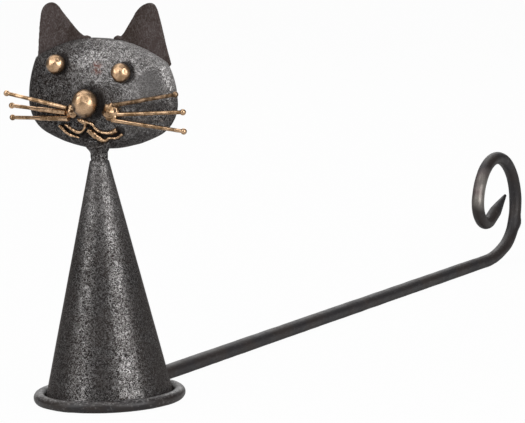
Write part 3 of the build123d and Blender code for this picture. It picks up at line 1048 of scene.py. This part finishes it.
class SNUFFER_OT_tail(bpy.types.Operator):
    """Draws the bar of the tail along its straight, bend, loop, curl and point"""

    bl_idname = "snuffer.tail"
    bl_label = "Tail"

    STRAIGHT_STEPS, BEND_STEPS, LOOP_STEPS, CURL_STEPS, END_STEPS, POINT_STEPS = 96, 8, 64, 32, 6, 14
    POINT_TAPER, POINT_CURVE = 0.78, 1.1
    # Where the loop gets a painted highlight of bare steel: a limb from its centre and a reach, as shares of
    # its radius
    LOOP_HIGHLIGHT = (((0.1, -0.82, 0.58), 0.40), ((0.1, -0.95, 0.30), 0.36))
    KINK = (0.0017, 0.2622, 0.0108)
    KINK_PULL = (0.00045, 0.00028, 0.0)
    KINK_REACH = 0.0032
    # The braze at the foot, as shares of the bar's radius
    BRAZE_PLACE, BRAZE_SIZE, BRAZE_STRETCH = (0.4, 1.05), 1.15, (1.25, 1.0, 0.9)

    def execute(self, context):
        sizes, colours = context.scene.snuffer_sizes, context.scene.snuffer_finish
        low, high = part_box("tail_handle")
        radius = high.x
        place, heading = Vector((0, low.y, radius)), 0.0
        bpy.ops.mesh.primitive_circle_add(vertices=32, radius=radius, fill_type="NGON",
                                          location=place, rotation=(pi / 2, 0, 0))
        tail = name_new("tail")
        settle(tail)
        edit_all(tail)
        step = Vector((0, (sizes.tail_straight - low.y) / self.STRAIGHT_STEPS, 0))
        for _ in range(self.STRAIGHT_STEPS):
            extrude(step)
            place += step
        centres = []
        for bend, turn, count in ((sizes.tail_bend, sizes.tail_bend_turn, self.BEND_STEPS),
                                  (sizes.tail_loop, sizes.tail_loop_turn, self.LOOP_STEPS),
                                  (sizes.tail_curl, sizes.tail_curl_turn, self.CURL_STEPS)):
            centre = place + bend * Vector((0, -sin(heading), cos(heading)))
            bpy.ops.mesh.spin(steps=count, angle=-turn, center=centre, axis=(1, 0, 0))
            heading += turn
            place = centre - bend * Vector((0, -sin(heading), cos(heading)))
            centres.append(centre)
        run = Vector((0, cos(heading), sin(heading)))
        for _ in range(self.END_STEPS):
            extrude(run * sizes.tail_end / self.END_STEPS)
        place += run * sizes.tail_end
        width = 1.0
        for index in range(self.POINT_STEPS):
            step = run * sizes.tail_point / self.POINT_STEPS
            extrude(step)
            place += step
            next_width = 1 - self.POINT_TAPER * ((index + 1) / self.POINT_STEPS) ** self.POINT_CURVE
            bpy.ops.transform.resize(value=[next_width / width] * 3, center_override=place)
            width = next_width
        leave_edit()
        outward(tail)
        roughen(tail, depth=0.00016, grain=0.006)
        tug(tail, Vector(self.KINK), Vector(self.KINK_PULL), self.KINK_REACH)
        rest(tail)
        # Painted highlights of bare steel on the loop's near limb
        loop, loop_centre = sizes.tail_loop, centres[1]
        loop_highlight = [(loop_centre + loop * Vector(limb), loop * reach) for limb, reach in self.LOOP_HIGHLIGHT]
        finish = satin_finish("tail_finish", colours.tail, colours.heat, scale=170, fleck_share=0.05,
                              rough=0.46, loop_highlight=loop_highlight)
        hand_over(tail, finish, ["tail_handle"], smooth=50)

        along, up = [radius * share for share in self.BRAZE_PLACE]
        braze = ball("tail_braze", (0, low.y + along, up), radius * self.BRAZE_SIZE, self.BRAZE_STRETCH)
        roughen(braze, depth=0.35, grain=0.6, size=radius)
        rest(braze)
        hand_over(braze, finish)
        return {"FINISHED"}


class SNUFFER_OT_stage(bpy.types.Operator):
    """Sets the pale floor, the soft light and the camera"""

    bl_idname = "snuffer.stage"
    bl_label = "Stage"

    FLOOR_DROP = 0.00005
    FLOOR_SEEN, FLOOR_MIRRORED = 0.97, 0.15
    # The way to the bright backdrop, and how near to it a reflection starts and is fully bright
    BACKDROP = (-0.50, 0.83, 0.25)
    BACKDROP_EDGE, BACKDROP_FULL = 0.78, 0.98
    AIM = Vector((0, 0.02, 0.05))
    # Place and size of each lamp
    LAMPS = {
        "key": ((0.86, -0.29, 0.36), (0.70, 0.8)),
        "fill": ((-0.50, -0.82, 0.50), (0.65, 0.8)),
        "top": ((-0.3, 0.25, 1.0), (1.3, 1.1)),
        "brow": ((0.10, -0.58, 0.90), (0.9, 0.55)),
        "back": ((-0.25, 0.85, 0.6), (0.7, 0.4)),
    }

    def execute(self, context):
        scene, stage = context.scene, context.scene.snuffer_stage
        bpy.ops.mesh.primitive_plane_add(size=30, location=(0, 0, -self.FLOOR_DROP))
        floor = name_new("floor")
        paint = bpy.data.materials.new("pale_floor")
        tree, rays, mirrored = self.empty_tree(paint)
        matt = add_node(tree, "BsdfDiffuse", {"Color": (*scene.snuffer_finish.floor, 1)}).outputs[0]
        white = add_node(tree, "Emission", {"Color": (1, 1, 1, 1), "Strength": 1.0}).outputs[0]
        seen = sums(tree, "ADD", times(tree, rays["Is Camera Ray"], self.FLOOR_SEEN),
                    times(tree, mirrored, self.FLOOR_MIRRORED))
        mixed = add_node(tree, "MixShader", {0: seen, 1: matt, 2: white}).outputs[0]
        add_node(tree, "OutputMaterial", {"Surface": mixed})
        floor.data.materials.append(paint)

        scene.world = bpy.data.worlds.new("studio")
        tree, rays, mirrored = self.empty_tree(scene.world)
        heading = add_node(tree, "TexCoord").outputs["Generated"]
        behind = vectors(tree, "DOT_PRODUCT", heading, self.BACKDROP)["Value"]
        backdrop = ramp(tree, behind, self.BACKDROP_EDGE, self.BACKDROP_FULL, stage.dim, 1.0)
        lit = add_node(tree, "Mix", {0: mirrored, 2: stage.sky, 3: backdrop}).outputs[0]
        strength = add_node(tree, "Mix", {0: rays["Is Camera Ray"], 2: lit, 3: 1.0}).outputs[0]
        sky = add_node(tree, "Background", {"Color": (1, 1, 1, 1), "Strength": strength}).outputs[0]
        add_node(tree, "OutputWorld", {"Surface": sky})

        for name, (place, size) in self.LAMPS.items():
            bpy.ops.object.light_add(type="AREA", location=place)
            lamp = name_new(f"{name}_lamp")
            lamp.data.energy = getattr(stage, f"{name}_power")
            lamp.data.shape = "RECTANGLE"
            lamp.data.size, lamp.data.size_y = size
            lamp.rotation_euler = (self.AIM - Vector(place)).to_track_quat("-Z", "Y").to_euler()

        bpy.ops.object.camera_add(location=stage.camera_place)
        camera = name_new("camera")
        level = Euler((pi / 2 - stage.pitch, 0, stage.heading)).to_matrix()
        camera.rotation_euler = (level @ Matrix.Rotation(stage.roll, 3, "Z")).to_euler()
        camera.data.lens = stage.lens
        camera.data.sensor_width = 36
        camera.data.clip_start, camera.data.clip_end = 0.01, 60
        scene.camera = camera
        scene.view_settings.view_transform = "Standard"
        return {"FINISHED"}

    def empty_tree(self, owner):
        """The emptied nodes of a material or world, its kinds of ray, and a mask of the mirrored ones."""
        owner.use_nodes = True
        tree = owner.node_tree
        tree.nodes.clear()
        rays = add_node(tree, "LightPath").outputs
        return tree, rays, sums(tree, "MAXIMUM", rays["Is Glossy Ray"], rays["Is Transmission Ray"])


OPERATORS = (SNUFFER_OT_bell, SNUFFER_OT_neck, SNUFFER_OT_face, SNUFFER_OT_ears, SNUFFER_OT_eyes_nose,
             SNUFFER_OT_whiskers, SNUFFER_OT_lips, SNUFFER_OT_tail, SNUFFER_OT_stage)


class SNUFFER_PT_panel(bpy.types.Panel):
    """Lists the pieces of the snuffer"""

    bl_idname = "SNUFFER_PT_panel"
    bl_label = "Cat Candle Snuffer"
    bl_space_type = "VIEW_3D"
    bl_region_type = "UI"
    bl_category = "Snuffer"

    def draw(self, context):
        for operator in OPERATORS:
            self.layout.operator(operator.bl_idname)


GROUPS = {"snuffer_sizes": SnufferSizes, "snuffer_finish": SnufferFinish, "snuffer_stage": SnufferStage}


def register():
    for cls in (*GROUPS.values(), *OPERATORS, SNUFFER_PT_panel):
        bpy.utils.register_class(cls)
    for name, cls in GROUPS.items():
        setattr(bpy.types.Scene, name, PointerProperty(type=cls))


def unregister():
    for name in GROUPS:
        delattr(bpy.types.Scene, name)
    for cls in (SNUFFER_PT_panel, *OPERATORS[::-1], *GROUPS.values()):
        bpy.utils.unregister_class(cls)


def main():
    """Makes every piece in order."""
    register()
    for operator in OPERATORS:
        group, name = operator.bl_idname.split(".")
        getattr(getattr(bpy.ops, group), name)()


if __name__ == "__main__":
    main()
